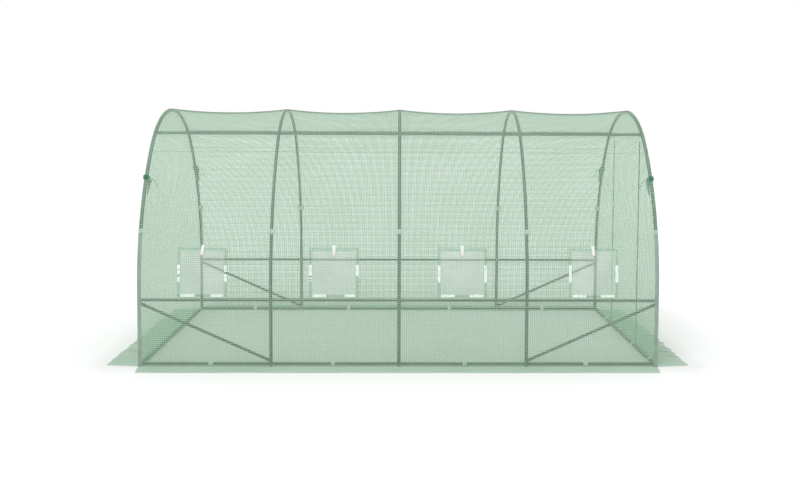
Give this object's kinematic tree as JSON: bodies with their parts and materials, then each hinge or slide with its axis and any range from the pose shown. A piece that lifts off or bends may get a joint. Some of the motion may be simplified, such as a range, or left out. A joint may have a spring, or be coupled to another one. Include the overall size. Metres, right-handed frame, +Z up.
{
  "type": "polytunnel greenhouse",
  "caption": "Walk-in polytunnel: bent tube hoops on rails under a translucent green cover with ground skirts, a zip door in one end and roll-up windows along one side.",
  "frame": {"origin": "on the ground, in the middle of the tunnel's footprint", "axes": "+X along the tunnel towards the end with the door, +Y across it, away from the side with the windows, +Z up"},
  "size_m": [4.5376, 2.3656, 2.0073],
  "materials": {
    "steel_tube": "grey powder coat",
    "cover_sheet": "translucent green woven polyethylene",
    "netting": "fine white netting",
    "zip_tape": "dark green tape and coil",
    "string": "dark green string",
    "white_webbing": "white hook-and-loop webbing"
  },
  "bodies": {
    "root": {"arch_1": "steel_tube", "arch_2": "steel_tube", "arch_3": "steel_tube", "arch_4": "steel_tube", "arch_5": "steel_tube", "base_rail_east": "steel_tube", "base_rail_north": "steel_tube", "base_rail_south": "steel_tube", "base_rail_west": "steel_tube", "brace_north_east": "steel_tube", "brace_north_west": "steel_tube", "brace_south_east": "steel_tube", "brace_south_west": "steel_tube", "cover_roof": "cover_sheet", "cover_side_north": "cover_sheet", "cover_side_south": "cover_sheet", "door_flap": "cover_sheet", "door_ties": "string", "door_zips": "zip_tape", "end_panel_east": "cover_sheet", "end_panel_west": "cover_sheet", "hoop_straps_north": "white_webbing", "hoop_straps_south": "white_webbing", "legs_north": "steel_tube", "legs_south": "steel_tube", "mid_rail_north": "steel_tube", "mid_rail_south": "steel_tube", "rail_straps": "white_webbing", "skirt_east": "cover_sheet", "skirt_north": "cover_sheet", "skirt_south": "cover_sheet", "skirt_west": "cover_sheet", "tie_drop_north_east": "string", "tie_drop_north_west": "string", "tie_drop_south_east": "string", "tie_drop_south_west": "string", "tie_tail_north_east": "string", "tie_tail_north_west": "string", "tie_tail_south_east": "string", "tie_tail_south_west": "string", "tie_wraps": "string", "upper_rail_north": "steel_tube", "upper_rail_south": "steel_tube", "window_flap_1": "cover_sheet", "window_flap_2": "cover_sheet", "window_flap_3": "cover_sheet", "window_flap_4": "cover_sheet", "window_screens": "netting", "window_straps": "white_webbing", "window_tapes": "white_webbing"}
  },
  "joints": []
}
